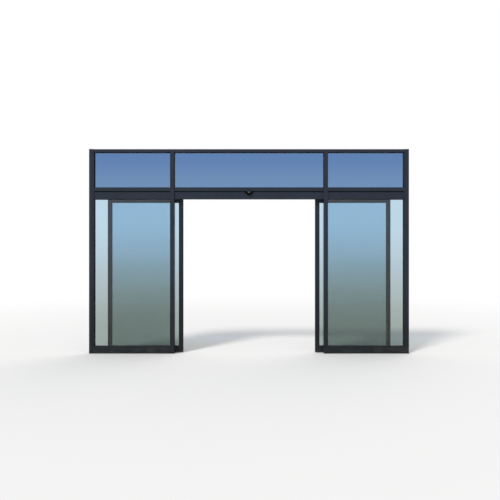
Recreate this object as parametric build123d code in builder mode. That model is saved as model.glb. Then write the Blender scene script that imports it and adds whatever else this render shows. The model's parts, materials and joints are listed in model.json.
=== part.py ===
from build123d import *
import os

os.makedirs("parts", exist_ok=True)

# Automatic bi-parting sliding entrance door: a glazed aluminium frame with two sidelights and three
# top lights, and two framed glass leaves that hang from a track in the header and park behind the
# sidelights. Millimetres. X runs along the wall, +Y points indoors and +Z is up. The origin is on the
# left jamb's wall face, at floor level, in the middle of the frame's depth. The leaves stand open.

# The doorway and the heights above it
doorway_width = 2250
doorway_height = 2321
header_face = 104
shadow_gap = 15
transom_bar_face = 55
transom_light_height = 530
head_face = 45

# The frame's bars
frame_depth = 80
mullion_face = 60
jamb_front_face = 45
jamb_inner_face = 25
jamb_step = 5
rail_setback = 8
header_setback = 17
gap_recess = 15
bottom_rail_face = 105
edge_radius = 1.5

# The panes and the grooves that hold their edges
glass_thickness = 24
glass_recess = 33
glass_bite = 10
pocket_depth = 12
glazing_fit = 0.3

# The sliding leaves
leaf_thickness = 45
leaf_stile_face = 56
leaf_top_rail_face = 60
leaf_bottom_rail_face = 92
leaf_floor_gap = 8
leaf_top_entry = 18
leaf_overlap = 17.5
leaf_showing_when_open = 122.5
leaf_parking_margin = 187.5
leaf_face_clearance = 6
closing_gap = 5
edge_seal_thickness = 5
edge_seal_width = 20

# The operator housing behind the header
operator_height = 152
operator_depth = 120
operator_end_inset = 5
end_cap_thickness = 5
back_plate_thickness = 4
cover_thickness = 3
back_plate_clearance = 7

# The track, and the hangers and rollers that run on it
hanger_length = 160
hanger_thickness = 6
hanger_inset = 200
hanger_foot_reach = 14
hanger_corner_radius = 15
axle_spacing = 100
axle_radius = 5
axle_margin = 20
axle_fit = 0.05
axle_tip = 1.5
shoulder_radius = 8
roller_radius = 20
roller_tread = 8
flange_radius = 23
flange_thickness = 3
rolling_gap = 0.3
track_plate = 6
track_rib_width = 6
track_rib_height = 6
track_leg = 22
track_lip = 10.5
track_over_foot = 30
hanger_clearance = 6

# The floor guides and the motion sensors
guide_plate = 3
guide_upstand = 8
guide_height = 45
sensor_width = 126
sensor_height = 54
sensor_shoulder = 11
sensor_tip_width = 24
sensor_depth = 45
sensor_corner_radius = 5
sensor_front_scale = 0.7
sensor_above_header = 7

# Lines across the door, as distances from its centre line
mullion_inner = doorway_width / 2
mullion_outer = mullion_inner + mullion_face
leaf_edge = mullion_inner - leaf_showing_when_open
leaf_stile_edge = leaf_edge + edge_seal_thickness
leaf_width = mullion_inner + leaf_overlap - closing_gap / 2 - edge_seal_thickness
leaf_trailing_edge = leaf_stile_edge + leaf_width
jamb_inner = leaf_trailing_edge + leaf_parking_margin
jamb_step_line = jamb_inner + jamb_inner_face
half_width = jamb_step_line + jamb_front_face
overall_width = 2 * half_width
centre_x = half_width

# Heights above the floor
header_underside = doorway_height
header_top = header_underside + header_face
transom_bar_bottom = header_top + shadow_gap
transom_bar_top = transom_bar_bottom + transom_bar_face
head_underside = transom_bar_top + transom_light_height
overall_height = head_underside + head_face
leaf_bottom = leaf_floor_gap
leaf_top = header_underside + leaf_top_entry

# Depths, from outdoors to indoors
frame_front = -frame_depth / 2
frame_back = frame_depth / 2
rail_front = frame_front + rail_setback
header_front = frame_front + header_setback
gap_front = header_front + gap_recess
pane_front = frame_front + glass_recess
pane_back = pane_front + glass_thickness
pocket_front = pane_front - glazing_fit
pocket_back = pane_back + glazing_fit
leaf_front = frame_back + leaf_face_clearance
leaf_back = leaf_front + leaf_thickness
leaf_middle = (leaf_front + leaf_back) / 2
leaf_pane_front = leaf_middle - glass_thickness / 2
leaf_pane_back = leaf_middle + glass_thickness / 2
leaf_pocket_front = leaf_pane_front - glazing_fit
leaf_pocket_back = leaf_pane_back + glazing_fit
back_plate_face = frame_back + back_plate_thickness
operator_back = frame_back + operator_depth

# The three bays between the posts, each from its left to its right side
sides = {"left": -1, "right": 1}
bays = {
    "left": (centre_x - jamb_inner, centre_x - mullion_outer),
    "centre": (centre_x - mullion_inner, centre_x + mullion_inner),
    "right": (centre_x + mullion_outer, centre_x + jamb_inner),
}


def x_at(side, distance):
    """X of a line at a distance from the centre line, on the left (-1) or the right (+1)."""
    return centre_x + side * distance


def facing_outdoors(y):
    """The plane parallel to the facade at depth y. Its own axes are X and Z."""
    return Plane.XZ.offset(-y)


def across(x):
    """The plane across the facade at x. Its own axes are Y and Z."""
    return Plane.YZ.offset(x)


def rectangle_between(corner, opposite, mode=Mode.ADD):
    """A rectangle given by two opposite corners."""
    with Locations(((corner[0] + opposite[0]) / 2, (corner[1] + opposite[1]) / 2)):
        Rectangle(abs(opposite[0] - corner[0]), abs(opposite[1] - corner[1]), mode=mode)


def write_step(piece, node):
    """Label a finished piece and write it as the node's STEP file."""
    piece.part.label = node
    export_step(piece.part, f"parts/{node}.step")


def bay_rail(bay, front, bottom, top, pocket_to=None, pocket_from=None):
    """A horizontal bar of one bay, with a groove for a pane along its top or its underside."""
    x_low, x_high = bays[bay]
    with BuildPart() as rail:
        with BuildSketch(across(x_low)) as section:
            rectangle_between((front, bottom), (frame_back, top))
            fillet(section.vertices(), edge_radius)
            if pocket_to is not None:
                rectangle_between((pocket_front, pocket_from), (pocket_back, pocket_to), Mode.SUBTRACT)
        extrude(amount=x_high - x_low)
    return rail


def bay_pane(bay, bottom, top):
    """The fixed pane of one bay. Its edges reach into the grooves of the bars round it."""
    x_low, x_high = bays[bay]
    low_corner = (x_low - glass_bite, bottom - glass_bite)
    high_corner = (x_high + glass_bite, top + glass_bite)
    with BuildPart() as pane:
        with BuildSketch(facing_outdoors(pane_front)):
            rectangle_between(low_corner, high_corner)
        extrude(amount=-glass_thickness)
    return pane


# Jambs: the front face is stepped back beside the glass, and the groove stops in line with the head's
for name, side in sides.items():
    with BuildPart() as jamb:
        with BuildSketch(Plane.XY) as section:
            rectangle_between((x_at(side, half_width), frame_front), (x_at(side, jamb_inner), frame_back))
            rectangle_between(
                (x_at(side, jamb_step_line), frame_front),
                (x_at(side, jamb_inner), frame_front + jamb_step),
                Mode.SUBTRACT,
            )
            fillet(section.vertices(), edge_radius)
        extrude(amount=overall_height)
        with BuildSketch(Plane.XY):
            rectangle_between(
                (x_at(side, jamb_inner), pocket_front),
                (x_at(side, jamb_inner + pocket_depth), pocket_back),
            )
        extrude(amount=head_underside + pocket_depth, mode=Mode.SUBTRACT)
    write_step(jamb, f"{name}_jamb")

# Mullions: from the floor to the head, grooved for the sidelight and, above the header, for the top light
for name, side in sides.items():
    with BuildPart() as mullion:
        with BuildSketch(Plane.XY) as section:
            rectangle_between(
                (x_at(side, mullion_inner), frame_front),
                (x_at(side, mullion_outer), frame_back),
            )
            fillet(section.vertices(), edge_radius)
            rectangle_between(
                (x_at(side, mullion_outer), pocket_front),
                (x_at(side, mullion_outer - pocket_depth), pocket_back),
                Mode.SUBTRACT,
            )
        extrude(amount=head_underside)
        top_light_groove_bottom = transom_bar_top - pocket_depth
        with BuildSketch(Plane.XY.offset(top_light_groove_bottom)):
            rectangle_between(
                (x_at(side, mullion_inner), pocket_front),
                (x_at(side, mullion_inner + pocket_depth), pocket_back),
            )
        extrude(amount=head_underside - top_light_groove_bottom, mode=Mode.SUBTRACT)
    write_step(mullion, f"{name}_mullion")

# Head: one bar from jamb to jamb over the mullions
with BuildPart() as head_rail:
    with BuildSketch(across(x_at(-1, jamb_inner))) as section:
        rectangle_between((rail_front, head_underside), (frame_back, overall_height))
        fillet(section.vertices(), edge_radius)
        rectangle_between(
            (pocket_front, head_underside), (pocket_back, head_underside + pocket_depth), Mode.SUBTRACT
        )
    extrude(amount=2 * jamb_inner)
write_step(head_rail, "head_rail")

# The bars and the pane over the doorway and over each sidelight
for bay in bays:
    transom_groove = transom_bar_top - pocket_depth
    transom_bar = bay_rail(
        bay, rail_front, transom_bar_bottom, transom_bar_top, transom_bar_top, transom_groove
    )
    write_step(transom_bar, f"{bay}_transom_bar")
    if bay == "centre":
        header_rail = bay_rail(bay, header_front, header_underside, header_top)
    else:
        header_groove = header_underside + pocket_depth
        header_rail = bay_rail(
            bay, header_front, header_underside, header_top, header_underside, header_groove
        )
    write_step(header_rail, f"{bay}_header_rail")
    write_step(bay_pane(bay, transom_bar_top, head_underside), f"{bay}_transom_glass")

# Recessed strips that close the shadow gap over the header
with BuildPart() as shadow_gap_strips:
    for x_low, x_high in bays.values():
        with BuildSketch(across(x_low)):
            rectangle_between((gap_front, header_top), (frame_back, transom_bar_bottom))
        extrude(amount=x_high - x_low)
write_step(shadow_gap_strips, "shadow_gap_strips")

# Sidelights: a tall bottom rail and one pane up to the header
for name in sides:
    bottom_groove = bottom_rail_face - pocket_depth
    bottom_rail = bay_rail(name, rail_front, 0, bottom_rail_face, bottom_rail_face, bottom_groove)
    write_step(bottom_rail, f"{name}_sidelight_bottom_rail")
    write_step(bay_pane(name, bottom_rail_face, header_underside), f"{name}_sidelight_glass")

# Leaf frames: two stiles of the full height with the rails between them, all grooved for the pane
leaf_stile_inner = leaf_stile_edge + leaf_stile_face
leaf_trailing_inner = leaf_trailing_edge - leaf_stile_face
leaf_glass_bottom = leaf_bottom + leaf_bottom_rail_face
leaf_glass_top = leaf_top - leaf_top_rail_face


def leaf_stile(side, outer_line, inner_line):
    """An upright of a leaf. The groove for the pane is cut into the face at inner_line."""
    toward_outer = 1 if outer_line > inner_line else -1
    with BuildPart() as stile:
        with BuildSketch(Plane.XY.offset(leaf_bottom)) as section:
            rectangle_between((x_at(side, outer_line), leaf_front), (x_at(side, inner_line), leaf_back))
            fillet(section.vertices(), edge_radius)
            rectangle_between(
                (x_at(side, inner_line), leaf_pocket_front),
                (x_at(side, inner_line + toward_outer * pocket_depth), leaf_pocket_back),
                Mode.SUBTRACT,
            )
        extrude(amount=leaf_top - leaf_bottom)
    return stile


def leaf_rail(side, bottom, top, pocket_from, pocket_to):
    """A horizontal bar of a leaf, between its stiles."""
    x_low = min(x_at(side, leaf_stile_inner), x_at(side, leaf_trailing_inner))
    with BuildPart() as rail:
        with BuildSketch(across(x_low)) as section:
            rectangle_between((leaf_front, bottom), (leaf_back, top))
            fillet(section.vertices(), edge_radius)
            rectangle_between(
                (leaf_pocket_front, pocket_from), (leaf_pocket_back, pocket_to), Mode.SUBTRACT
            )
        extrude(amount=leaf_trailing_inner - leaf_stile_inner)
    return rail


for name, side in sides.items():
    write_step(leaf_stile(side, leaf_stile_edge, leaf_stile_inner), f"{name}_leaf_leading_stile")
    write_step(leaf_stile(side, leaf_trailing_edge, leaf_trailing_inner), f"{name}_leaf_trailing_stile")
    top_rail = leaf_rail(side, leaf_glass_top, leaf_top, leaf_glass_top, leaf_glass_top + pocket_depth)
    write_step(top_rail, f"{name}_leaf_top_rail")
    bottom_rail = leaf_rail(
        side, leaf_bottom, leaf_glass_bottom, leaf_glass_bottom - pocket_depth, leaf_glass_bottom
    )
    write_step(bottom_rail, f"{name}_leaf_bottom_rail")

    with BuildPart() as leaf_glass:
        with BuildSketch(facing_outdoors(leaf_pane_front)):
            rectangle_between(
                (x_at(side, leaf_stile_inner - glass_bite), leaf_glass_bottom - glass_bite),
                (x_at(side, leaf_trailing_inner + glass_bite), leaf_glass_top + glass_bite),
            )
        extrude(amount=-glass_thickness)
    write_step(leaf_glass, f"{name}_leaf_glass")

    # Rubber strip on the edge that meets the other leaf
    with BuildPart() as edge_seal:
        with BuildSketch(Plane.XY.offset(leaf_bottom)):
            rectangle_between(
                (x_at(side, leaf_edge), leaf_middle - edge_seal_width / 2),
                (x_at(side, leaf_stile_edge), leaf_middle + edge_seal_width / 2),
            )
        extrude(amount=leaf_top - leaf_bottom)
    write_step(edge_seal, f"{name}_leaf_edge_seal")

# Hangers: each leaf has two, an angle on the leaf's top with two axles that reach over the track
track_bottom = leaf_top + hanger_thickness + track_over_foot
track_top = track_bottom + track_plate
rib_top = track_top + track_rib_height
axle_height = rib_top + rolling_gap + roller_radius
roller_width = roller_tread + 2 * flange_thickness
roller_front = leaf_middle - roller_width / 2
roller_back = leaf_middle + roller_width / 2
track_edge = leaf_middle + track_lip + track_rib_width / 2
hanger_front = track_edge + hanger_clearance
hanger_back = hanger_front + hanger_thickness
hanger_top = axle_height + axle_margin
hanger_lines = (leaf_stile_edge + hanger_inset, leaf_trailing_edge - hanger_inset)
axle_lines = [line + step for line in hanger_lines for step in (-axle_spacing / 2, axle_spacing / 2)]

for name, side in sides.items():
    axle_places = [(x_at(side, line), axle_height) for line in axle_lines]

    with BuildPart() as hangers:
        for line in hanger_lines:
            x_low = x_at(side, line) - hanger_length / 2
            x_high = x_at(side, line) + hanger_length / 2
            with BuildSketch(Plane.XY.offset(leaf_top)):
                rectangle_between((x_low, leaf_middle - hanger_foot_reach), (x_high, hanger_back))
            extrude(amount=hanger_thickness)
            with BuildSketch(facing_outdoors(hanger_front)) as plate:
                rectangle_between((x_low, leaf_top), (x_high, hanger_top))
                fillet(plate.vertices().group_by(Axis.Y)[-1], hanger_corner_radius)
            extrude(amount=-hanger_thickness)
        with BuildSketch(facing_outdoors(hanger_front)):
            with Locations(*axle_places):
                Circle(shoulder_radius)
        extrude(amount=hanger_front - roller_back - rolling_gap)
        with BuildSketch(facing_outdoors(hanger_front)):
            with Locations(*axle_places):
                Circle(axle_radius)
        extrude(amount=hanger_front - roller_front + axle_tip)
    write_step(hangers, f"{name}_leaf_hangers")

    # Flanged rollers on the hangers' axles
    with BuildPart() as rollers:
        roller_slices = (
            (roller_front, flange_thickness, flange_radius),
            (roller_front + flange_thickness, roller_tread, roller_radius),
            (roller_back - flange_thickness, flange_thickness, flange_radius),
        )
        for slice_front, thickness, radius in roller_slices:
            with BuildSketch(facing_outdoors(slice_front)):
                with Locations(*axle_places):
                    Circle(radius)
                    Circle(axle_radius + axle_fit, mode=Mode.SUBTRACT)
            extrude(amount=-thickness)
    write_step(rollers, f"{name}_leaf_rollers")

# Operator housing: plates round the track, open below along the leaves' path
operator_left = operator_end_inset + end_cap_thickness
operator_length = overall_width - 2 * operator_left
operator_bottom = leaf_top
operator_top = operator_bottom + operator_height
back_plate_bottom = leaf_top + back_plate_clearance

with BuildPart() as operator_back_plate:
    with BuildSketch(across(operator_left)):
        rectangle_between((frame_back, back_plate_bottom), (back_plate_face, operator_top))
    extrude(amount=operator_length)
write_step(operator_back_plate, "operator_back_plate")

with BuildPart() as track_rail:
    with BuildSketch(across(operator_left)):
        rectangle_between((back_plate_face, track_bottom), (track_edge, track_top))
        rectangle_between(
            (back_plate_face, track_bottom - track_leg + track_plate),
            (back_plate_face + track_plate, track_top),
        )
        rectangle_between(
            (leaf_middle - track_rib_width / 2, track_top), (leaf_middle + track_rib_width / 2, rib_top)
        )
    extrude(amount=operator_length)
write_step(track_rail, "track_rail")

with BuildPart() as operator_top_plate:
    with BuildSketch(across(operator_left)):
        rectangle_between(
            (back_plate_face, operator_top - cover_thickness),
            (operator_back - cover_thickness, operator_top),
        )
    extrude(amount=operator_length)
write_step(operator_top_plate, "operator_top_plate")

with BuildPart() as operator_cover:
    with BuildSketch(across(operator_left)):
        rectangle_between(
            (operator_back - cover_thickness, operator_bottom),
            (operator_back, operator_top),
        )
    extrude(amount=operator_length)
write_step(operator_cover, "operator_cover")

with BuildPart() as operator_soffit:
    with BuildSketch(across(operator_left)):
        rectangle_between(
            (leaf_back + leaf_face_clearance, operator_bottom),
            (operator_back - cover_thickness, operator_bottom + cover_thickness),
        )
    extrude(amount=operator_length)
write_step(operator_soffit, "operator_soffit")

with BuildPart() as operator_end_caps:
    for x_low in (operator_end_inset, overall_width - operator_left):
        with BuildSketch(across(x_low)) as section:
            rectangle_between((frame_back, operator_bottom), (operator_back, operator_top))
            fillet(section.vertices().group_by(Axis.X)[-1], edge_radius)
        extrude(amount=end_cap_thickness)
write_step(operator_end_caps, "operator_end_caps")

# Floor guides: an angle behind each mullion's foot that keeps the leaf's lower edge in line
with BuildPart() as floor_guides:
    for side in sides.values():
        guide_face = leaf_back + leaf_face_clearance
        guide_back = guide_face + guide_upstand
        with BuildSketch(across(min(x_at(side, mullion_inner), x_at(side, mullion_outer)))):
            rectangle_between((frame_back, 0), (guide_back, guide_plate))
            rectangle_between((guide_face, 0), (guide_back, guide_height))
        extrude(amount=mullion_face)
write_step(floor_guides, "floor_guides")


def motion_sensor(base):
    """A housing whose outline narrows to a blunt tip below, and which tapers towards its front."""
    with BuildPart() as sensor:
        for depth, scale in ((0, 1), (sensor_depth, sensor_front_scale)):
            half = scale * sensor_width / 2
            tip = scale * sensor_tip_width / 2
            low = -scale * sensor_height
            shoulder = -scale * sensor_shoulder
            right_edge = ((half, 0), (half, shoulder), (tip, low))
            left_edge = ((-tip, low), (-half, shoulder), (-half, 0))
            with BuildSketch(base.offset(depth)) as outline:
                with BuildLine():
                    Polyline(*right_edge, *left_edge, close=True)
                make_face()
                fillet(outline.vertices(), scale * sensor_corner_radius)
        loft()
    return sensor


# Motion sensors: one over the doorway outdoors, and its twin on the operator's cover indoors
sensor_top = header_top + sensor_above_header
outdoor_base = Plane(origin=(centre_x, header_front, sensor_top), x_dir=(1, 0, 0), z_dir=(0, -1, 0))
indoor_base = Plane(origin=(centre_x, operator_back, sensor_top), x_dir=(-1, 0, 0), z_dir=(0, 1, 0))
write_step(motion_sensor(outdoor_base), "outdoor_motion_sensor")
write_step(motion_sensor(indoor_base), "indoor_motion_sensor")
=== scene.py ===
"""Looks of the automatic bi-parting sliding entrance door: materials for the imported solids, and the
gaskets, brushes, seals, screws and sensor housings that complete them. Lengths are in metres, in the
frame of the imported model: X runs along the wall, +Y points indoors and +Z is up."""

import json
import math
import random

import bmesh
import bpy
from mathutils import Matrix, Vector


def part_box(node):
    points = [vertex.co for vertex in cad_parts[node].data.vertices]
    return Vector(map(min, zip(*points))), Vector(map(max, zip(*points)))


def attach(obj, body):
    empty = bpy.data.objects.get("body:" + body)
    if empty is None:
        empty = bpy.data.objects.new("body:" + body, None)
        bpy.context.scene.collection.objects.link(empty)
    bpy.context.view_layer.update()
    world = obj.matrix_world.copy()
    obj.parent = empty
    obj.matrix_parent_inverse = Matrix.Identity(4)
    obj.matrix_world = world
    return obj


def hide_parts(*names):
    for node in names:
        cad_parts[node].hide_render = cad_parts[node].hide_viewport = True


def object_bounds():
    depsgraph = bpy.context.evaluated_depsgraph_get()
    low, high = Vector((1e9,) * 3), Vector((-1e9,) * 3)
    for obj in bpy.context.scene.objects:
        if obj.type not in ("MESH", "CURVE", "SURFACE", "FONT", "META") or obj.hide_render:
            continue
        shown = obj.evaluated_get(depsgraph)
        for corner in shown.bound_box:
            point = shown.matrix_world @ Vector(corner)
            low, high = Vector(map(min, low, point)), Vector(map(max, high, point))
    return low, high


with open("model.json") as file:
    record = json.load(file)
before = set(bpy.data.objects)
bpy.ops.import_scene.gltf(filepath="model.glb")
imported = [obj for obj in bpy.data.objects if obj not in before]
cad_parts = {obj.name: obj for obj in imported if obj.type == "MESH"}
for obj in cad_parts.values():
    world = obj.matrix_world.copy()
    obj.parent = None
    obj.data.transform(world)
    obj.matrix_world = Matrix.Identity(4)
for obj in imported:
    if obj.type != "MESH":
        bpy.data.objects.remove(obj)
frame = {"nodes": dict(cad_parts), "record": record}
cad_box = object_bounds()

MM = 0.001
SIDES = {"left": -1, "right": 1}
SHARP_ANGLE = math.radians(34)
ALONG = Vector((1, 0, 0))
INDOORS = Vector((0, 1, 0))
UP = Vector((0, 0, 1))

# Camera: square on to the facade, a little right of its middle
CAMERA_PLACE = (2.595, -7.54, 1.42)
CAMERA_LENS = 36
CAMERA_SENSOR = 36
CAMERA_SHIFT = (-0.024, 0.018)

camera_data = bpy.data.cameras.new("camera")
camera_data.sensor_width = CAMERA_SENSOR
camera_data.lens = CAMERA_LENS
camera_data.shift_x, camera_data.shift_y = CAMERA_SHIFT
camera = bpy.data.objects.new("camera", camera_data)
camera.location = CAMERA_PLACE
camera.rotation_euler = (math.radians(90), 0, 0)
bpy.context.scene.collection.objects.link(camera)
bpy.context.scene.camera = camera
bpy.context.scene.view_settings.view_transform = "Standard"


# Node helpers


def add_node(tree, kind, inputs=None, **settings):
    """A new node. Each input is given by its name or number, as a value or as a socket to link."""
    node = tree.nodes.new(kind)
    for name, value in settings.items():
        setattr(node, name, value)
    for name, value in (inputs or {}).items():
        if isinstance(value, bpy.types.NodeSocket):
            tree.links.new(value, node.inputs[name])
        else:
            node.inputs[name].default_value = value
    return node


def linear(red, green, blue):
    """A colour as it shows on screen, 0 to 255, turned into the linear colour that nodes take."""

    def channel(value):
        share = value / 255
        return share / 12.92 if share <= 0.04045 else ((share + 0.055) / 1.055) ** 2.4

    return (channel(red), channel(green), channel(blue), 1)


def shaded(colour, factor):
    """The colour, darker or lighter by a factor."""
    return tuple(factor * part for part in colour[:3]) + (1,)


def mixed(tree, factor, first, second, blend="MIX"):
    """Colour mixed from two colours, which are inputs 6 and 7 of the node. The colour is its output 2."""
    inputs = {0: factor, 6: first, 7: second}
    return add_node(tree, "ShaderNodeMix", inputs, data_type="RGBA", blend_type=blend).outputs[2]


def maths(tree, operation, first, second):
    """Number from two numbers."""
    return add_node(tree, "ShaderNodeMath", {0: first, 1: second}, operation=operation).outputs[0]


def ranged(tree, value, low, high, to_low, to_high):
    """Value between low and high carried over smoothly to the range from to_low to to_high."""
    ends = {"Value": value, "From Min": low, "From Max": high, "To Min": to_low, "To Max": to_high}
    return add_node(tree, "ShaderNodeMapRange", ends, interpolation_type="SMOOTHSTEP").outputs["Result"]


def varied(tree, pattern, low, high):
    """A number from low to high that follows a noise pattern, most of which lies between 0.3 and 0.7."""
    return ranged(tree, pattern, 0.3, 0.7, low, high)


def object_place(tree):
    """The surface point in the object's own coordinates, in metres."""
    return add_node(tree, "ShaderNodeTexCoord").outputs["Object"]


def height_of(tree):
    """The surface point's height above the floor, in metres."""
    return add_node(tree, "ShaderNodeSeparateXYZ", {0: object_place(tree)}).outputs["Z"]


def noise(tree, per_metre, detail=2.0):
    """Noise with its own number of features per metre along X, Y and Z."""
    place = add_node(tree, "ShaderNodeMapping", {"Vector": object_place(tree), "Scale": per_metre})
    inputs = {"Vector": place.outputs[0], "Scale": 1.0, "Detail": detail}
    return add_node(tree, "ShaderNodeTexNoise", inputs).outputs["Fac"]


def bumped(tree, relief, depth):
    """Normal of a surface with a relief of that depth, in metres."""
    inputs = {"Height": relief, "Strength": 1.0, "Distance": depth}
    return add_node(tree, "ShaderNodeBump", inputs).outputs[0]


def new_material(name):
    """A material with an empty node tree, the tree and its output."""
    material = bpy.data.materials.new(name)
    material.use_nodes = True
    material.node_tree.nodes.clear()
    return material, material.node_tree, add_node(material.node_tree, "ShaderNodeOutputMaterial")


def surfaced(name, build):
    """A material of one Principled shader whose inputs come from build(tree)."""
    material, tree, output = new_material(name)
    shader = add_node(tree, "ShaderNodeBsdfPrincipled", build(tree))
    tree.links.new(shader.outputs[0], output.inputs["Surface"])
    return material


def seen_rays(tree):
    """1 for a ray that the camera, a mirror or a pane shows, and 0 for a ray that carries light."""
    rays = add_node(tree, "ShaderNodeLightPath")
    direct = maths(tree, "MAXIMUM", rays.outputs["Is Camera Ray"], rays.outputs["Is Glossy Ray"])
    return maths(tree, "MAXIMUM", direct, rays.outputs["Is Transmission Ray"])


# Materials

BLOTCH_SHARE = 0.6
STREAK_SHARE = 0.4
COAT_DARK_SHARE = 0.86
COAT_LIGHT_SHARE = 1.16
# Painted shade and painted reflection of the ground: how much darker and less blue the coat is at the
# floor, and the height where that ends
LOW_PAINTED_SHADE_SHARE = (0.66, 0.60, 0.46, 1)
PAINTED_SHADE_TOP = 1.5
FOOT_TOP = 0.22
MOST_DUST = 0.08
MOST_SCUFFS = 0.12
DUST_COLOUR = linear(128, 126, 122)
SCUFF_COLOUR = linear(150, 152, 156)
COAT_ROUGHNESS = (0.46, 0.54)
ORANGE_PEEL_DEPTH = 0.01 * MM


def coated_metal(name, colour, streaks_per_metre):
    """Satin powder coating: orange peel, faint blotches and rain streaks, with dust and scuffs at the
    foot. Low down it is painted darker and less blue, a painted shade and reflection of the ground.
    """

    def build(tree):
        blotches = maths(tree, "MULTIPLY", noise(tree, (1.7, 1.7, 1.7), 3.0), BLOTCH_SHARE)
        streaks = maths(tree, "MULTIPLY", noise(tree, streaks_per_metre, 4.0), STREAK_SHARE)
        tone = varied(tree, maths(tree, "ADD", blotches, streaks), 0.0, 1.0)
        coat = mixed(tree, tone, shaded(colour, COAT_DARK_SHARE), shaded(colour, COAT_LIGHT_SHARE))
        # Painted shade and painted reflection of the ground: the coat turns darker and less blue towards
        # the floor
        above_low = ranged(tree, height_of(tree), 0.0, PAINTED_SHADE_TOP, 0.0, 1.0)
        bloom_and_painted_shade = mixed(tree, above_low, LOW_PAINTED_SHADE_SHARE, (1, 1, 1, 1))
        shade_painted_coat = mixed(tree, 1.0, coat, bloom_and_painted_shade, "MULTIPLY")
        foot = ranged(tree, height_of(tree), 0.0, FOOT_TOP, 1.0, 0.0)
        dust_patches = ranged(tree, noise(tree, (9, 9, 22), 5.0), 0.35, 0.75, 0.0, MOST_DUST)
        dust = maths(tree, "MULTIPLY", foot, dust_patches)
        scuff_marks = ranged(tree, noise(tree, (7, 60, 190), 3.0), 0.66, 0.72, 0.0, MOST_SCUFFS)
        scuffs = maths(tree, "MULTIPLY", foot, scuff_marks)
        dusty = mixed(tree, dust, shade_painted_coat, DUST_COLOUR)
        matt = varied(tree, noise(tree, (5, 5, 5), 4.0), *COAT_ROUGHNESS)
        return {
            "Base Color": mixed(tree, scuffs, dusty, SCUFF_COLOUR),
            "Roughness": maths(tree, "ADD", matt, dust),
            "Specular IOR Level": 0.15,
            "Normal": bumped(tree, noise(tree, (1250, 1250, 1250), 1.0), ORANGE_PEEL_DEPTH),
        }

    return surfaced(name, build)


MOST_BLOOM = 0.25
BLOOM_COLOUR = linear(62, 62, 64)
RUBBER_ROUGHNESS = (0.58, 0.72)
RUBBER_SKIN_DEPTH = 0.02 * MM


def rubber(name, colour):
    """Black rubber with a faint grey bloom and a fine matt skin."""

    def build(tree):
        bloom_and_painted_shade = ranged(tree, noise(tree, (14, 14, 14), 5.0), 0.4, 0.8, 0.0, MOST_BLOOM)
        return {
            "Base Color": mixed(tree, bloom_and_painted_shade, colour, BLOOM_COLOUR),
            "Roughness": varied(tree, noise(tree, (40, 40, 40)), *RUBBER_ROUGHNESS),
            "Specular IOR Level": 0.25,
            "Normal": bumped(tree, noise(tree, (900, 900, 900)), RUBBER_SKIN_DEPTH),
        }

    return surfaced(name, build)


METAL_DARK_SHARE = 0.82
METAL_GLOSS_CHANGE = 0.08
METAL_LINE_DEPTH = 0.012 * MM


def bare_metal(name, colour, lines_per_metre, roughness):
    """Bare metal with slow changes of tone, and fine lines along an axis with few features per metre."""

    def build(tree):
        lines = noise(tree, lines_per_metre, 4.0)
        tone = varied(tree, noise(tree, (6, 6, 6), 3.0), 0.0, 1.0)
        smoothest = roughness - METAL_GLOSS_CHANGE
        roughest = roughness + METAL_GLOSS_CHANGE
        return {
            "Base Color": mixed(tree, tone, shaded(colour, METAL_DARK_SHARE), colour),
            "Metallic": 1.0,
            "Roughness": ranged(tree, lines, 0.25, 0.75, smoothest, roughest),
            "Normal": bumped(tree, lines, METAL_LINE_DEPTH),
        }

    return surfaced(name, build)


PLASTIC_DARK_SHARE = 0.85
PLASTIC_GLOSS_CHANGE = 0.04


def moulded_plastic(name, colour, roughness, specular, grain):
    """Moulded plastic with slight changes of gloss and a fine grain, whose depth is in metres."""

    def build(tree):
        tone = varied(tree, noise(tree, (11, 11, 11), 3.0), 0.0, 1.0)
        gloss = noise(tree, (60, 60, 60))
        smoothest = roughness - PLASTIC_GLOSS_CHANGE
        roughest = roughness + PLASTIC_GLOSS_CHANGE
        return {
            "Base Color": mixed(tree, tone, shaded(colour, PLASTIC_DARK_SHARE), colour),
            "Roughness": varied(tree, gloss, smoothest, roughest),
            "Specular IOR Level": specular,
            "Normal": bumped(tree, noise(tree, (1600, 1600, 1600)), grain),
        }

    return surfaced(name, build)


FIBRE_DARK = linear(8, 8, 9)
FIBRE_LIGHT = linear(38, 38, 41)
FIBRE_ROUGHNESS = (0.7, 0.9)
FIBRE_DEPTH = 0.15 * MM


def brush_pile(name, fibres_per_metre):
    """Black pile whose fibres run along the axis with the fewest features per metre."""

    def build(tree):
        fibres = noise(tree, fibres_per_metre)
        return {
            "Base Color": mixed(tree, fibres, FIBRE_DARK, FIBRE_LIGHT),
            "Roughness": varied(tree, fibres, *FIBRE_ROUGHNESS),
            "Specular IOR Level": 0.2,
            "Normal": bumped(tree, fibres, FIBRE_DEPTH),
        }

    return surfaced(name, build)


FILM_ROUGHNESS = 0.03


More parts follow.
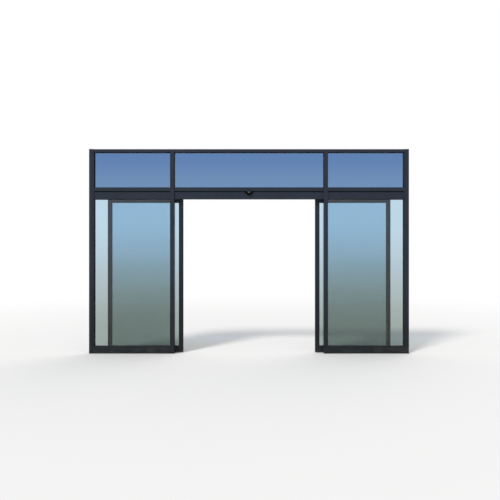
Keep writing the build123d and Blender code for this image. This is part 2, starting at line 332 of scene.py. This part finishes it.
def glass(name, low_tint_and_reflection, high_tint_and_reflection, low, high):
    """Tinted float glass with a faint film, through which lamps shine. Its colour changes with height: a
    painted reflection laid over the tint.
    """
    material, tree, output = new_material(name)
    # Painted reflection: the pane's colour moves with height between its two colours
    tint_and_painted_reflection = mixed(tree, ranged(tree, height_of(tree), low, high, 0.0, 1.0), low_tint_and_reflection, high_tint_and_reflection)
    film = ranged(tree, noise(tree, (5, 5, 1.1), 5.0), 0.45, 0.8, 0.0, FILM_ROUGHNESS)
    inputs = {"Base Color": tint_and_painted_reflection, "Roughness": film, "IOR": 1.5, "Transmission Weight": 1.0}
    pane = add_node(tree, "ShaderNodeBsdfPrincipled", inputs)
    clear = add_node(tree, "ShaderNodeBsdfTransparent", {"Color": tint_and_painted_reflection})
    rays = add_node(tree, "ShaderNodeLightPath")
    lighting = maths(tree, "MAXIMUM", rays.outputs["Is Shadow Ray"], rays.outputs["Is Diffuse Ray"])
    either = add_node(tree, "ShaderNodeMixShader", {0: lighting, 1: pane.outputs[0], 2: clear.outputs[0]})
    tree.links.new(either.outputs[0], output.inputs["Surface"])
    return material


# Colours of the panes, a tint with a painted reflection laid over it: bluer high up as mirrored sky,
# greener and darker low down as mirrored ground, and the top lights deep blue and darker towards their
# top, as mirrored sky and shade above them. Also the heights between which each changes from its low to
# its high colour
PANE_LOW_TINT_AND_REFLECTION = (0.36, 0.43, 0.41, 1)
PANE_HIGH_TINT_AND_REFLECTION = (0.50, 0.67, 0.80, 1)
PANE_SPAN = (0.4, 2.1)
TOP_LIGHT_LOW_TINT_AND_REFLECTION = (0.13, 0.25, 0.46, 1)
TOP_LIGHT_HIGH_TINT_AND_REFLECTION = (0.08, 0.19, 0.42, 1)
TOP_LIGHT_SPAN = [corner.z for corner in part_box("centre_transom_glass")]

# Rain streaks: features per metre along X, Y and Z
UPRIGHT_STREAKS = (46, 46, 1.4)
LEVEL_STREAKS = (1.4, 46, 46)

# Painted light: the coats' colour is the anthracite coating's bluish grey, made bluer as a cast of blue
# sky light
frame_coat = coated_metal("frame_coat", linear(37, 44, 56), UPRIGHT_STREAKS)
# Painted shade: the leaves' coat is the frame's coating made darker, for the shade the leaves stand in
# behind the frame
leaf_coat_painted_shade = coated_metal("leaf_coat_painted_shade", linear(33, 40, 51), UPRIGHT_STREAKS)
housing_coat = coated_metal("housing_coat", linear(37, 44, 56), LEVEL_STREAKS)
gap_coat = moulded_plastic("gap_coat", linear(24, 31, 45), 0.62, 0.1, 0.01 * MM)
seal_rubber = rubber("seal_rubber", linear(15, 15, 17))
zinc_plate = bare_metal("zinc_plate", linear(186, 188, 190), (60, 60, 60), 0.38)
mill_aluminium = bare_metal("mill_aluminium", linear(200, 202, 205), (3, 420, 420), 0.36)
brushed_steel = bare_metal("brushed_steel", linear(176, 178, 180), (12, 900, 900), 0.3)
roller_plastic = moulded_plastic("roller_plastic", linear(38, 38, 41), 0.45, 0.35, 0.02 * MM)
sensor_black = moulded_plastic("sensor_black", linear(5, 5, 7), 0.2, 0.08, 0.002 * MM)
sensor_face = moulded_plastic("sensor_face", linear(52, 54, 60), 0.45, 0.25, 0.02 * MM)
# Painted highlight: the lens is light grey to stand for a highlight on the sensor's front
lens_and_painted_highlight = moulded_plastic("lens_and_painted_highlight", linear(124, 123, 122), 0.25, 0.4, 0.002 * MM)
upright_pile = brush_pile("upright_pile", (900, 60, 900))
floor_pile = brush_pile("floor_pile", (900, 900, 60))
pane_glass = glass("pane_glass", PANE_LOW_TINT_AND_REFLECTION, PANE_HIGH_TINT_AND_REFLECTION, *PANE_SPAN)
top_light_glass = glass("top_light_glass", TOP_LIGHT_LOW_TINT_AND_REFLECTION, TOP_LIGHT_HIGH_TINT_AND_REFLECTION, *TOP_LIGHT_SPAN)

SLOT_MATERIALS = {
    "frame_finish": frame_coat,
    "leaf_finish": leaf_coat_painted_shade,
    "housing_finish": housing_coat,
    "gap_finish": gap_coat,
    "glass": pane_glass,
    "seal_rubber": seal_rubber,
    "hanger_steel": zinc_plate,
    "roller_plastic": roller_plastic,
    "track_aluminium": mill_aluminium,
    "guide_steel": brushed_steel,
    "sensor_plastic": sensor_black,
}

for part in frame["record"]["subparts"]:
    node = frame["nodes"][part["node"]]
    finish = top_light_glass if "transom_glass" in part["node"] else SLOT_MATERIALS[part["material_slot"]]
    for material_slot in node.material_slots:
        material_slot.material = finish


# Mesh helpers


def in_metres(section):
    """A section in millimetres, turned into metres."""
    return [(u * MM, v * MM) for u, v in section]


def skin(shape, loops, around=False):
    """Quads between a row of equal loops, which is capped at its ends unless it runs around."""
    pairs = list(zip(loops, loops[1:]))
    if around:
        pairs.append((loops[-1], loops[0]))
    else:
        shape.faces.new(loops[0])
        shape.faces.new(loops[-1])
    for near, far in pairs:
        for here in range(len(near)):
            there = (here + 1) % len(near)
            shape.faces.new((near[here], near[there], far[there], far[here]))


def add_bar(shape, start, across, out, along, section, stations):
    """A bar of one section. The section's points are (across, out) and its stations are along the bar."""
    loops = []
    for station in stations:
        loops.append([shape.verts.new(start + u * across + v * out + station * along) for u, v in section])
    skin(shape, loops)


def add_ring(shape, opening, section, glass_face, toward):
    """A mitred ring inside an opening. The section's points are (into the opening, off the glass)."""
    x_low, x_high, z_low, z_high = opening
    corners = (
        (x_low, z_low, 1, 1),
        (x_high, z_low, -1, 1),
        (x_high, z_high, -1, -1),
        (x_low, z_high, 1, -1),
    )
    loops = []
    for x, z, x_way, z_way in corners:
        points = [(x + x_way * u, glass_face + toward * v, z + z_way * u) for u, v in section]
        loops.append([shape.verts.new(point) for point in points])
    skin(shape, loops, around=True)


def add_turned(shape, foot, out, rings, segments=24):
    """A capped body about an axis. A ring is (radius, height along the axis, whether it is six-sided)."""
    across = out.orthogonal().normalized()
    other = out.cross(across)
    loops = []
    for radius, height, six_sided in rings:
        loop = []
        for step in range(segments):
            angle = 2 * math.pi * step / segments
            flat = 1
            if six_sided:
                flat = math.cos(math.pi / 6) / math.cos(angle % (math.pi / 3) - math.pi / 6)
            spoke = math.cos(angle) * across + math.sin(angle) * other
            loop.append(shape.verts.new(foot + height * out + radius * flat * spoke))
        loops.append(loop)
    skin(shape, loops)


# Fasteners: the rings' shares of the radius and the height, and whether a ring is six-sided
SOCKET_SCREW = (
    (1.0, 0.0, False),
    (1.0, 0.45, False),
    (0.93, 0.8, False),
    (0.78, 1.0, False),
    (0.48, 1.0, True),
    (0.48, 0.25, True),
)
WASHER_AND_HEXAGON = (
    (1.3, 0.0, False),
    (1.3, 0.198, False),
    (1.25, 0.22, False),
    (1.0, 0.22, True),
    (1.0, 0.88, True),
    (0.84, 1.0, False),
)
RETAINING_RING = ((1.0, 0.0, False), (1.0, 1.0, False))


def add_fastener(shape, foot, out, shares, radius, height):
    """A domed socket screw's head, a washer with a hexagon head or nut, or a plain ring."""
    rings = [(share * radius, rise * height, six_sided) for share, rise, six_sided in shares]
    add_turned(shape, foot, out, rings)


# Brush pile: its outline in shares of half its width and of its reach, and how uneven it is at most
PILE_OUTLINE = (
    (-0.75, 0.0),
    (0.75, 0.0),
    (0.95, 0.7),
    (1.0, 1.0),
    (0.0, 1.0),
    (-1.0, 1.0),
    (-0.95, 0.7),
)
PILE_PINCH = 0.15
PILE_SHORTFALL = 0.12


def add_pile(shape, start, across, out, along, width, reach, stations, chance):
    """Brush pile that fans out towards a slightly uneven free edge."""
    loops = []
    for station in stations:
        loop = []
        for side, share in PILE_OUTLINE:
            u = width / 2 * side * (1 - share * chance.uniform(0.0, PILE_PINCH))
            v = reach * share * (1 - chance.uniform(0.0, PILE_SHORTFALL))
            loop.append(shape.verts.new(start + u * across + v * out + station * along))
        loops.append(loop)
    skin(shape, loops)


def rounded(corners, radius, steps=4):
    """The points of a convex outline with its corners rounded."""
    outline = []
    for index, corner in enumerate(corners):
        here = Vector(corner)
        before = (Vector(corners[index - 1]) - here).normalized()
        after = (Vector(corners[(index + 1) % len(corners)]) - here).normalized()
        half_angle = before.angle(after) / 2
        middle = here + (before + after).normalized() * radius / math.sin(half_angle)
        start = here + before * radius / math.tan(half_angle) - middle
        end = here + after * radius / math.tan(half_angle) - middle
        first_angle = math.atan2(start.y, start.x)
        sweep = (math.atan2(end.y, end.x) - first_angle + math.pi) % (2 * math.pi) - math.pi
        for step in range(steps + 1):
            angle = first_angle + sweep * step / steps
            outline.append((middle.x + radius * math.cos(angle), middle.y + radius * math.sin(angle)))
    return outline


def spaced(low, high, pitch):
    """Even stations from low to high, about one pitch apart."""
    count = max(1, round((high - low) / pitch))
    return [low + (high - low) * step / count for step in range(count + 1)]


def finished(name, shape, material, body):
    """The shape as a piece that rides on a body, with the given material."""
    bmesh.ops.recalc_face_normals(shape, faces=shape.faces)
    mesh = bpy.data.meshes.new(name)
    shape.to_mesh(mesh)
    shape.free()
    mesh.shade_smooth()
    mesh.set_sharp_from_angle(angle=SHARP_ANGLE)
    mesh.materials.append(material)
    piece = bpy.data.objects.new(name, mesh)
    bpy.context.scene.collection.objects.link(piece)
    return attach(piece, body)


# Each pane's body, and the bars to the left, to the right, below and above it
BAYS = {
    "left": ("left_jamb", "left_mullion"),
    "centre": ("left_mullion", "right_mullion"),
    "right": ("right_mullion", "right_jamb"),
}
PANES = {}
for bay, uprights in BAYS.items():
    PANES[f"{bay}_transom"] = ("frame", *uprights, f"{bay}_transom_bar", "head_rail")
for name in SIDES:
    level_bars = (f"{name}_sidelight_bottom_rail", f"{name}_header_rail")
    PANES[f"{name}_sidelight"] = ("frame", *BAYS[name], *level_bars)
for name, side in SIDES.items():
    leaf = f"{name}_leaf"
    stiles = (f"{leaf}_leading_stile", f"{leaf}_trailing_stile")[::side]
    PANES[leaf] = (leaf, *stiles, f"{leaf}_bottom_rail", f"{leaf}_top_rail")

# Gaskets and glazing beads: sections in millimetres, whose points are (into the opening, off the glass)
OUTER_GASKET = (
    (0.0, 0.0),
    (4.6, 0.0),
    (5.0, 0.5),
    (4.9, 1.4),
    (4.2, 2.4),
    (2.8, 3.2),
    (1.2, 3.6),
    (0.0, 3.7),
)
INNER_GASKET = ((0.0, 0.0), (6.5, 0.0), (6.9, 0.4), (6.8, 1.1), (6.2, 1.6), (0.0, 1.6))
BEAD_HEIGHT = 6.0
BEAD_START = 1.6
BEAD_SETBACK = 0.8
BEAD_ROUNDING = 0.8
BEAD_CHAMFER = 2.0

for pane, (body, left_bar, right_bar, lower_bar, upper_bar) in PANES.items():
    x_span = (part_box(left_bar)[1].x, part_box(right_bar)[0].x)
    z_span = (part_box(lower_bar)[1].z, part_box(upper_bar)[0].z)
    opening = (*x_span, *z_span)
    glass_low, glass_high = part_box(f"{pane}_glass")
    gaskets = bmesh.new()
    add_ring(gaskets, opening, in_metres(OUTER_GASKET), glass_low.y, -1)
    add_ring(gaskets, opening, in_metres(INNER_GASKET), glass_high.y, 1)
    finished(f"{pane}_gaskets", gaskets, seal_rubber, body)

    bead_end = (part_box(lower_bar)[1].y - glass_high.y) / MM - BEAD_SETBACK
    bead_section = (
        (0.0, BEAD_START),
        (BEAD_HEIGHT - BEAD_ROUNDING, BEAD_START),
        (BEAD_HEIGHT, BEAD_START + BEAD_ROUNDING),
        (BEAD_HEIGHT, bead_end - BEAD_CHAMFER),
        (BEAD_HEIGHT - BEAD_CHAMFER, bead_end),
        (0.0, bead_end),
    )
    beads = bmesh.new()
    add_ring(beads, opening, in_metres(bead_section), glass_high.y, 1)
    coat, slot = (frame_coat, "frame_finish") if body == "frame" else (leaf_coat_painted_shade, "leaf_finish")
    finished(f"{pane}_beads", beads, coat, body)


def leaf_ends(name):
    """The x of a leaf's left and right ends."""
    stiles = [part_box(f"{name}_leaf_{stile}_stile") for stile in ("leading", "trailing")]
    return min(low.x for low, high in stiles), max(high.x for low, high in stiles)


# Brushes that close the gaps between the frame, the leaves and the floor
PILE_WIDTH = 5 * MM
PILE_PITCH = 4 * MM
CARRIER_SECTION = ((-4.0, 0.0), (4.0, 0.0), (4.0, 0.6), (3.4, 1.2), (-3.4, 1.2), (-4.0, 0.6))
LEAF_GAP = 1.2 * MM
FLOOR_GAP = 1.6 * MM
HEADER_BRUSH_RISE = 8 * MM
BRUSH_FOOT = 6 * MM
GUIDE_PLATE = 3 * MM
PILE_SEED = 7
chance = random.Random(PILE_SEED)

frame_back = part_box("left_mullion")[1].y
leaf_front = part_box("left_leaf_bottom_rail")[0].y
leaf_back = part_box("left_leaf_bottom_rail")[1].y
leaf_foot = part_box("left_leaf_bottom_rail")[0].z
leaf_middle = (leaf_front + leaf_back) / 2
header_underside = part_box("centre_header_rail")[0].z
header_middle = header_underside + HEADER_BRUSH_RISE
frame_pile_reach = leaf_front - LEAF_GAP - frame_back
floor_pile_reach = leaf_foot - FLOOR_GAP - GUIDE_PLATE


def brush(name, body, start, across, out, along, length, reach, pile_material):
    """A brush in an aluminium carrier, as two pieces."""
    carrier = bmesh.new()
    add_bar(carrier, start, across, out, along, in_metres(CARRIER_SECTION), (0, length))
    finished(f"{name}_carrier", carrier, mill_aluminium, body)
    pile = bmesh.new()
    add_pile(pile, start, across, out, along, PILE_WIDTH, reach, spaced(0, length, PILE_PITCH), chance)
    finished(f"{name}_pile", pile, pile_material, body)


for name in SIDES:
    low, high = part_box(f"{name}_mullion")
    foot = Vector(((low.x + high.x) / 2, frame_back, BRUSH_FOOT))
    length = header_underside - BRUSH_FOOT
    mullion_brush = f"{name}_mullion_brush"
    brush(mullion_brush, "frame", foot, ALONG, INDOORS, UP, length, frame_pile_reach, upright_pile)

    x_low, x_high = leaf_ends(name)
    start = Vector((x_low, leaf_middle, leaf_foot))
    length = x_high - x_low
    leaf = f"{name}_leaf"
    brush(f"{leaf}_floor_brush", leaf, start, INDOORS, -UP, ALONG, length, floor_pile_reach, floor_pile)

x_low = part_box("left_header_rail")[0].x
x_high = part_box("right_header_rail")[1].x
start = Vector((x_low, frame_back, header_middle))
length = x_high - x_low
brush("header_brush", "frame", start, UP, INDOORS, ALONG, length, frame_pile_reach, upright_pile)

# Meeting seals on the leading stiles: half of a section in millimetres (across the leaf, off the stile)
SEAL_HALF = (
    (10.0, 0.0),
    (10.0, 1.1),
    (8.8, 1.5),
    (7.6, 1.4),
    (6.7, 3.8),
    (5.2, 6.0),
    (3.0, 7.1),
    (1.0, 6.9),
)
SEAL_SECTION = (*SEAL_HALF, (0.0, 6.8), *((-u, v) for u, v in SEAL_HALF[::-1]))

for name, side in SIDES.items():
    low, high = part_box(f"{name}_leaf_edge_seal")
    stile_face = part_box(f"{name}_leaf_leading_stile")[1 if side < 0 else 0].x
    foot = Vector((stile_face, leaf_middle, low.z))
    seal = bmesh.new()
    add_bar(seal, foot, INDOORS, -side * ALONG, UP, in_metres(SEAL_SECTION), (0, high.z - low.z))
    piece = finished(f"{name}_leaf_meeting_seal", seal, seal_rubber, f"{name}_leaf")
    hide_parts(f"{name}_leaf_edge_seal")

# Sealant and drain covers on the outdoor faces: sections in millimetres (off the face, up)
SEALANT_SECTION = ((0.0, 0.0), (5.0, 0.0), (2.4, 0.9), (0.9, 2.4), (0.0, 5.0))
DRAIN_SECTION = ((0.0, 0.0), (2.6, 0.0), (3.0, 0.6), (2.3, 6.0), (0.7, 9.0), (0.0, 9.2))
DRAIN_WIDTH = 32 * MM
DRAIN_INSET = 0.22
SIDELIGHT_DRAIN_RISE = 0.078
TRANSOM_DRAIN_RISE = 0.022

for name in SIDES:
    low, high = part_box(f"{name}_sidelight_bottom_rail")
    sealant = bmesh.new()
    add_bar(sealant, low, -INDOORS, UP, ALONG, in_metres(SEALANT_SECTION), (0, high.x - low.x))
    finished(f"{name}_foot_sealant", sealant, seal_rubber, "frame")

drains = bmesh.new()
drained_rails = [(f"{name}_sidelight_bottom_rail", SIDELIGHT_DRAIN_RISE) for name in SIDES]
drained_rails += [(f"{bay}_transom_bar", TRANSOM_DRAIN_RISE) for bay in BAYS]
for rail, rise in drained_rails:
    low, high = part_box(rail)
    for x in (low.x + DRAIN_INSET, high.x - DRAIN_INSET - DRAIN_WIDTH):
        start = Vector((x, low.y, low.z + rise))
        add_bar(drains, start, -INDOORS, UP, ALONG, in_metres(DRAIN_SECTION), (0, DRAIN_WIDTH))
finished("drain_covers", drains, frame_coat, "frame")

# Screws of the floor guides, the operator housing and the track
GUIDE_SCREW_RADIUS = 4.5 * MM
GUIDE_SCREW_HEIGHT = 0.7 * MM
GUIDE_SCREW_SPREAD = 17 * MM
GUIDE_SCREW_LINES = (13 * MM, 46 * MM)
CAP_SCREW_RADIUS = 4 * MM
CAP_SCREW_HEIGHT = 2 * MM
CAP_SCREW_INSET = 14 * MM
TOP_SCREW_PITCH = 0.55
TRACK_SCREW_PITCH = 0.42
TRACK_LEG_MIDDLE = 7 * MM
TRACK_PLATE = 6 * MM

screws = bmesh.new()
for name in SIDES:
    low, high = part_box(f"{name}_mullion")
    for step in (-1, 1):
        for line in GUIDE_SCREW_LINES:
            foot = Vector(((low.x + high.x) / 2 + step * GUIDE_SCREW_SPREAD, high.y + line, GUIDE_PLATE))
            add_fastener(screws, foot, UP, SOCKET_SCREW, GUIDE_SCREW_RADIUS, GUIDE_SCREW_HEIGHT)
finished("floor_guide_screws", screws, brushed_steel, "frame")

caps_low, caps_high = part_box("operator_end_caps")
top_low, top_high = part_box("operator_top_plate")
screws = bmesh.new()
for x, out in ((caps_low.x, -ALONG), (caps_high.x, ALONG)):
    for y in (caps_low.y + CAP_SCREW_INSET, caps_high.y - CAP_SCREW_INSET):
        for z in (caps_low.z + CAP_SCREW_INSET, caps_high.z - CAP_SCREW_INSET):
            foot = Vector((x, y, z))
            add_fastener(screws, foot, out, SOCKET_SCREW, CAP_SCREW_RADIUS, CAP_SCREW_HEIGHT)
for x in spaced(top_low.x + CAP_SCREW_INSET, top_high.x - CAP_SCREW_INSET, TOP_SCREW_PITCH):
    foot = Vector((x, top_high.y - CAP_SCREW_INSET, top_high.z))
    add_fastener(screws, foot, UP, SOCKET_SCREW, CAP_SCREW_RADIUS, CAP_SCREW_HEIGHT)
finished("operator_screws", screws, zinc_plate, "frame")

plate_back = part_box("operator_back_plate")[1].y
track_low, track_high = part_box("track_rail")
screws = bmesh.new()
for x in spaced(track_low.x + CAP_SCREW_INSET, track_high.x - CAP_SCREW_INSET, TRACK_SCREW_PITCH):
    foot = Vector((x, plate_back + TRACK_PLATE, track_low.z + TRACK_LEG_MIDDLE))
    add_fastener(screws, foot, INDOORS, SOCKET_SCREW, CAP_SCREW_RADIUS, CAP_SCREW_HEIGHT)
finished("track_screws", screws, zinc_plate, "frame")

# Two reeds along the operator's cover: a section in millimetres (up, off the face)
REED_SECTION = ((-2.6, 0.0), (2.6, 0.0), (2.3, 0.6), (1.3, 1.1), (0.0, 1.3), (-1.3, 1.1), (-2.3, 0.6))
REED_INSET = 22 * MM
cover_low, cover_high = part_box("operator_cover")
reeds = bmesh.new()
for z in (cover_low.z + REED_INSET, cover_high.z - REED_INSET):
    start = Vector((cover_low.x, cover_high.y, z))
    add_bar(reeds, start, UP, INDOORS, ALONG, in_metres(REED_SECTION), (0, cover_high.x - cover_low.x))
finished("operator_cover_reeds", reeds, housing_coat, "frame")

# Bolts, nuts and retaining rings of the hangers
HANGER_INSET = 0.2
AXLE_SPREAD = 50 * MM
BOLT_SPREAD = 62 * MM
BOLT_RADIUS = 5.5 * MM
BOLT_HEIGHT = 5 * MM
BOLT_SETBACK = 4 * MM
NUT_RADIUS = 8 * MM
NUT_HEIGHT = 7 * MM
RING_RADIUS = 8 * MM
RING_THICKNESS = 1.0 * MM
FOOT_PLATE = 6 * MM

for name in SIDES:
    low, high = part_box(f"{name}_leaf_hangers")
    roller_low, roller_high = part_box(f"{name}_leaf_rollers")
    x_low, x_high = leaf_ends(name)
    axle_height = (roller_low.z + roller_high.z) / 2
    fixings = bmesh.new()
    for hanger_x in (x_low + HANGER_INSET, x_high - HANGER_INSET):
        for step in (-1, 1):
            bolt_x = hanger_x + step * BOLT_SPREAD
            foot = Vector((bolt_x, leaf_middle - BOLT_SETBACK, low.z + FOOT_PLATE))
            add_fastener(fixings, foot, UP, WASHER_AND_HEXAGON, BOLT_RADIUS, BOLT_HEIGHT)
            axle_x = hanger_x + step * AXLE_SPREAD
            foot = Vector((axle_x, high.y, axle_height))
            add_fastener(fixings, foot, INDOORS, WASHER_AND_HEXAGON, NUT_RADIUS, NUT_HEIGHT)
            foot = Vector((axle_x, roller_low.y, axle_height))
            add_fastener(fixings, foot, -INDOORS, RETAINING_RING, RING_RADIUS, RING_THICKNESS)
    finished(f"{name}_leaf_hanger_fixings", fixings, zinc_plate, f"{name}_leaf")

# Motion sensors: a black V with a grey middle and a round lens at the middle's foot, in millimetres. The
# lens's light grey is a painted highlight on the sensor's front.
# A level is (distance off the face that carries the sensor, share of the outline's size).
SENSOR_OUTLINE = ((63, 0), (63, -11), (12, -54), (-12, -54), (-63, -11), (-63, 0))
SENSOR_ROUNDING = 5
SENSOR_LEVELS = (
    (0.0, 1.0),
    (9.0, 1.0),
    (14.0, 0.985),
    (30.0, 0.84),
    (39.0, 0.74),
    (42.5, 0.69),
    (43.5, 0.65),
)
MIDDLE_OUTLINE = ((36, -2), (36, -4), (5, -25), (-5, -25), (-36, -4), (-36, -2))
MIDDLE_ROUNDING = 1.5
MIDDLE_LEVELS = ((42.0, 1.0), (44.0, 0.98), (44.6, 0.93))
LENS_RINGS = ((6.5, 42.0, False), (6.5, 44.5, False), (5.6, 44.9, False), (3.0, 45.0, False))
LENS_DROP = 15


def sensor(name, replaced, base, across, out):
    """A motion sensor, as three pieces. Base is the middle of its top edge, on the face behind it."""
    outline = rounded(SENSOR_OUTLINE, SENSOR_ROUNDING)
    middle_outline = rounded(MIDDLE_OUTLINE, MIDDLE_ROUNDING)
    shapes = []
    for corners, levels in ((outline, SENSOR_LEVELS), (middle_outline, MIDDLE_LEVELS)):
        shape = bmesh.new()
        loops = []
        for depth, scale in levels:
            points = [base + MM * (scale * u * across + scale * v * UP + depth * out) for u, v in corners]
            loops.append([shape.verts.new(point) for point in points])
        skin(shape, loops)
        shapes.append(shape)
    housing = finished(f"{name}_housing", shapes[0], sensor_black, "frame")
    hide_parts(replaced)
    finished(f"{name}_face", shapes[1], sensor_face, "frame")
    lens = bmesh.new()
    rings = [(radius * MM, height * MM, six_sided) for radius, height, six_sided in LENS_RINGS]
    add_turned(lens, base - LENS_DROP * MM * UP, out, rings)
    finished(f"{name}_lens", lens, lens_and_painted_highlight, "frame")


for name, face_side, out in (("outdoor", 1, -INDOORS), ("indoor", 0, INDOORS)):
    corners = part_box(f"{name}_motion_sensor")
    centre_x = (corners[0].x + corners[1].x) / 2
    base = Vector((centre_x, corners[face_side].y, corners[1].z))
    sensor(f"{name}_sensor", f"{name}_motion_sensor", base, ALONG, out)

# Studio: a pale floor that brightens to white far from the door, a soft key light and a fill
FLOOR_HALF_WIDTH = 60
FLOOR_DROP = 0.5 * MM
FLOOR_COLOUR = (0.80, 0.80, 0.795, 1)
FADE_START = 3.6
FADE_END = 13.0
AMBIENT = 0.6
KEY_DIRECTION = (0.73, 1.0, -1.26)
KEY_STRENGTH = 1.95
KEY_SOFTNESS = math.radians(14)
FILL_DIRECTION = (-0.4, -0.6, -0.7)
FILL_STRENGTH = 0.5
FILL_SOFTNESS = math.radians(50)

door_middle = (cad_box[0] + cad_box[1]) / 2
floor_shape = bmesh.new()
bmesh.ops.create_grid(floor_shape, x_segments=2, y_segments=2, size=FLOOR_HALF_WIDTH)
floor_mesh = bpy.data.meshes.new("floor")
floor_shape.to_mesh(floor_mesh)
floor_shape.free()
floor = bpy.data.objects.new("floor", floor_mesh)
floor.location = (door_middle.x, door_middle.y, -FLOOR_DROP)
bpy.context.scene.collection.objects.link(floor)

floor_material, tree, output = new_material("studio_floor")
length_of = add_node(tree, "ShaderNodeVectorMath", {0: object_place(tree)}, operation="LENGTH")
far = ranged(tree, length_of.outputs["Value"], FADE_START, FADE_END, 0.0, 1.0)
fade = maths(tree, "MULTIPLY", seen_rays(tree), far)
matt = add_node(tree, "ShaderNodeBsdfDiffuse", {"Color": FLOOR_COLOUR})
white = add_node(tree, "ShaderNodeEmission", {"Color": (1, 1, 1, 1), "Strength": 1.0})
surface = add_node(tree, "ShaderNodeMixShader", {0: fade, 1: matt.outputs[0], 2: white.outputs[0]})
tree.links.new(surface.outputs[0], output.inputs["Surface"])
floor_mesh.materials.append(floor_material)

world = bpy.data.worlds.new("studio")
world.use_nodes = True
tree = world.node_tree
tree.nodes.clear()
strength = ranged(tree, seen_rays(tree), 0.0, 1.0, AMBIENT, 1.0)
background = add_node(tree, "ShaderNodeBackground", {"Color": (1, 1, 1, 1), "Strength": strength})
add_node(tree, "ShaderNodeOutputWorld", {"Surface": background.outputs[0]})
bpy.context.scene.world = world

# The fill isn't mirrored anywhere, and neither lamp shows as a disc through the panes
for name, direction, strength, softness, mirrored in (
    ("key", KEY_DIRECTION, KEY_STRENGTH, KEY_SOFTNESS, True),
    ("fill", FILL_DIRECTION, FILL_STRENGTH, FILL_SOFTNESS, False),
):
    lamp_data = bpy.data.lights.new(name, "SUN")
    lamp_data.energy = strength
    lamp_data.angle = softness
    lamp = bpy.data.objects.new(name, lamp_data)
    lamp.rotation_euler = Vector(direction).to_track_quat("-Z", "Y").to_euler()
    lamp.visible_glossy = mirrored
    lamp.visible_transmission = False
    bpy.context.scene.collection.objects.link(lamp)
